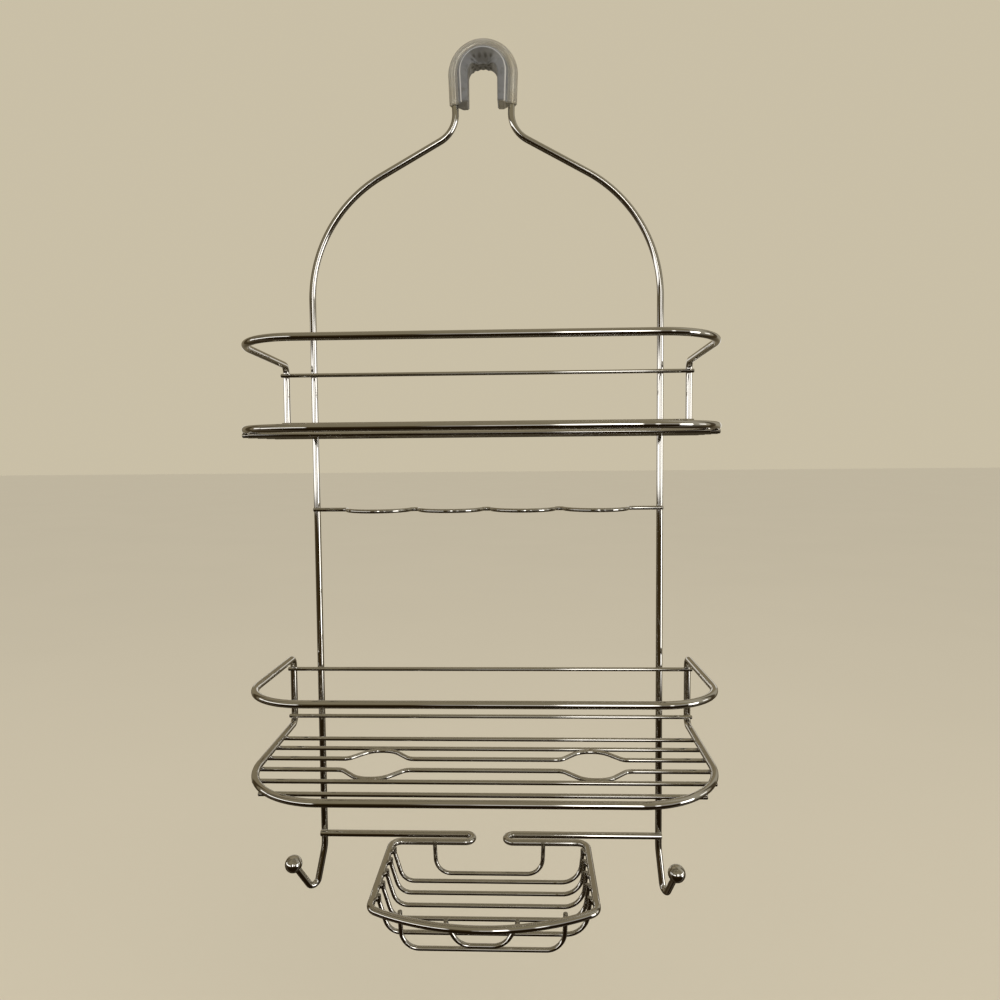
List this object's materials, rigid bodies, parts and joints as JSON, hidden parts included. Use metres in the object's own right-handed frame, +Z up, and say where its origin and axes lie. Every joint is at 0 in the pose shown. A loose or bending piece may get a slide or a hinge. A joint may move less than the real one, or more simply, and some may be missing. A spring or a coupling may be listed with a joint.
{
  "type": "shower caddy",
  "caption": "Hanging chrome wire shower caddy: padded hanger over the shower arm, wire baskets with bottle-neck holes, razor rail, slung soap dish and ball-ended hooks.",
  "frame": {"origin": "inside top of the hanger grip, on the caddy's middle plane: where the grip rests on the shower arm", "axes": "+X to the user's right, -Y to the front, away from the wall, +Z up; the main frame lies in the plane Y = 0"},
  "size_m": [0.3126, 0.139, 0.6443],
  "materials": {
    "chrome_wire": "bright chrome plate on steel wire, lightly water-marked",
    "vinyl_grip": "soft translucent grey vinyl, satin"
  },
  "bodies": {
    "root": {"main_frame": "chrome_wire", "grip": "vinyl_grip", "left_hook_ball": "chrome_wire", "right_hook_ball": "chrome_wire", "upper_basket_rim": "chrome_wire", "upper_basket_top_cross_wire": "chrome_wire", "upper_basket_bottom_cross_wire": "chrome_wire", "upper_basket_floor_wire_1": "chrome_wire", "upper_basket_floor_wire_2": "chrome_wire", "upper_basket_floor_wire_3": "chrome_wire", "upper_basket_floor_wire_4": "chrome_wire", "upper_basket_floor_wire_5": "chrome_wire", "upper_basket_floor_wire_6": "chrome_wire", "lower_basket_rim": "chrome_wire", "lower_basket_top_cross_wire": "chrome_wire", "lower_basket_bottom_cross_wire": "chrome_wire", "lower_basket_floor_wire_1": "chrome_wire", "lower_basket_floor_wire_2": "chrome_wire", "lower_basket_floor_wire_3": "chrome_wire", "lower_basket_floor_wire_4": "chrome_wire", "lower_basket_floor_wire_5": "chrome_wire", "lower_basket_floor_wire_6": "chrome_wire", "razor_rail": "chrome_wire", "dish_rim": "chrome_wire", "dish_wire_1": "chrome_wire", "dish_wire_2": "chrome_wire", "dish_wire_3": "chrome_wire", "dish_wire_4": "chrome_wire", "dish_wire_5": "chrome_wire", "dish_wire_6": "chrome_wire", "dish_wire_7": "chrome_wire", "dish_wire_8": "chrome_wire"}
  },
  "joints": []
}
